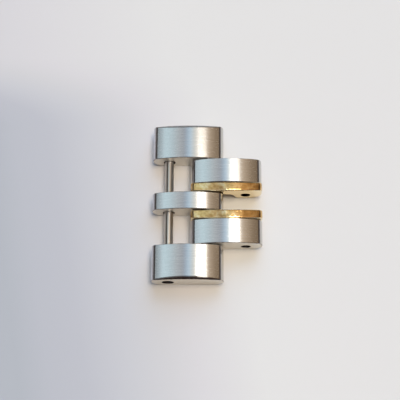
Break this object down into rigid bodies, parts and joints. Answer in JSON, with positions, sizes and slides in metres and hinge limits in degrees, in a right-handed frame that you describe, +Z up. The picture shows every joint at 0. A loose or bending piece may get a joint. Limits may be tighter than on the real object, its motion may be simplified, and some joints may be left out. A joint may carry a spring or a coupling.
{
  "type": "link watch bracelet segment",
  "caption": "Short segment of a two-tone link watch bracelet: brushed steel links on cross pins, with hinged steel and gold links whose open bores take the next segment.",
  "frame": {"origin": "on the surface that the segment lies on, under the hinge pin's axis and halfway across the band", "axes": "+X along the bracelet towards the free ends of the swinging links, +Y across the band, +Z up through the links' outer faces"},
  "size_m": [0.0137, 0.02, 0.0033],
  "materials": {
    "link_steel": "brushed along the bracelet on top, polished on the side faces, round ends and outer bevels",
    "pin_steel": "drawn and lightly polished",
    "link_gold": "polished"
  },
  "bodies": {
    "carrier": {"far_outer_link": "link_steel", "centre_link": "link_steel", "near_outer_link": "link_steel", "hinge_pin": "pin_steel", "far_pin_collar": "pin_steel", "centre_pin_collar": "pin_steel", "near_pin_collar": "pin_steel"},
    "removable_pin": {"link_pin": "pin_steel"},
    "far_steel_leaf": {"far_steel_link": "link_steel"},
    "far_gold_leaf": {"far_gold_link": "link_gold"},
    "near_gold_leaf": {"near_gold_link": "link_gold"},
    "near_steel_leaf": {"near_steel_link": "link_steel"}
  },
  "joints": [
    {"name": "far_steel_hinge", "type": "hinge", "parent": "carrier", "child": "far_steel_leaf", "pos_m": [0, 0.0039, 0.00125], "axis": [0, 1, 0], "range_deg": [-25, 80]},
    {"name": "far_gold_hinge", "type": "hinge", "parent": "carrier", "child": "far_gold_leaf", "pos_m": [0, 0.0018, 0.00125], "axis": [0, 1, 0], "range_deg": [-25, 80]},
    {"name": "near_gold_hinge", "type": "hinge", "parent": "carrier", "child": "near_gold_leaf", "pos_m": [0, -0.0018, 0.00125], "axis": [0, 1, 0], "range_deg": [-25, 80]},
    {"name": "near_steel_hinge", "type": "hinge", "parent": "carrier", "child": "near_steel_leaf", "pos_m": [0, -0.0039, 0.00125], "axis": [0, 1, 0], "range_deg": [-25, 80]},
    {"name": "link_pin_slide", "type": "slide", "parent": "carrier", "child": "removable_pin", "axis": [0, -1, 0], "range_m": [0, 0.0205]}
  ]
}
